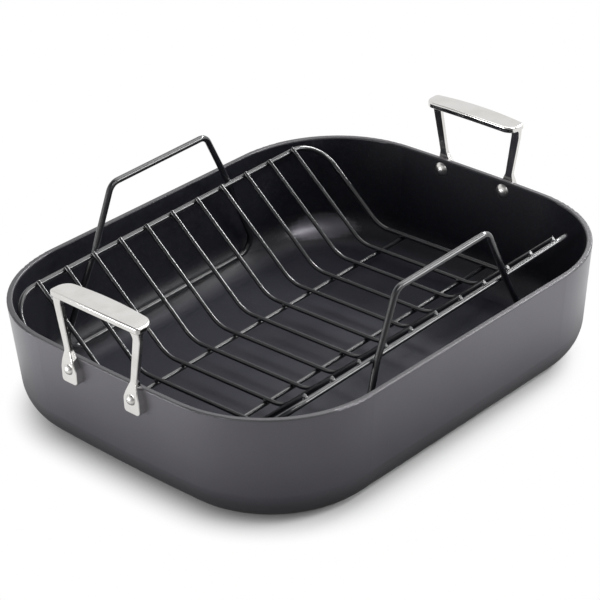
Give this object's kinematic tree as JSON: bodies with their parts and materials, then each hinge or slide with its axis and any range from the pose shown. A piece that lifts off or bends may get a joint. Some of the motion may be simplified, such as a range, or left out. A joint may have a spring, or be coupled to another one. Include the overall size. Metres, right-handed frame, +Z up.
{
  "type": "roasting pan with rack",
  "caption": "Deep rectangular roasting pan with rounded corners, two riveted upright end handles and a lift-out V rack of welded wire with tall carrying loops.",
  "frame": {"origin": "centre of the pan's flat base, on the surface it stands on", "axes": "+X along the pan towards the right handle, +Y towards the back long side, +Z up"},
  "size_m": [0.4212, 0.3266, 0.145],
  "materials": {
    "pan_aluminium": "hard anodised satin outside, black nonstick inside",
    "handle_steel": "polished stainless casting",
    "rivet_steel": "polished",
    "rack_wire": "gloss black nonstick coating on steel wire"
  },
  "bodies": {
    "pan": {"pan_body": "pan_aluminium", "pan_handle_left": "handle_steel", "pan_handle_right": "handle_steel", "pan_rivet_left_front": "rivet_steel", "pan_rivet_left_back": "rivet_steel", "pan_rivet_right_front": "rivet_steel", "pan_rivet_right_back": "rivet_steel"},
    "rack": {"rack_frame_wire": "rack_wire", "rack_rib_01": "rack_wire", "rack_rib_02": "rack_wire", "rack_rib_03": "rack_wire", "rack_rib_04": "rack_wire", "rack_rib_05": "rack_wire", "rack_rib_06": "rack_wire", "rack_rib_07": "rack_wire", "rack_rib_08": "rack_wire", "rack_rib_09": "rack_wire", "rack_rib_10": "rack_wire", "rack_rib_11": "rack_wire", "rack_runner_front": "rack_wire", "rack_runner_back": "rack_wire", "rack_loop_front": "rack_wire", "rack_loop_back": "rack_wire"}
  },
  "joints": [
    {"name": "rack_lift", "type": "slide", "parent": "pan", "child": "rack", "axis": [0, 0, 1], "range_m": [0, 0.2]}
  ]
}
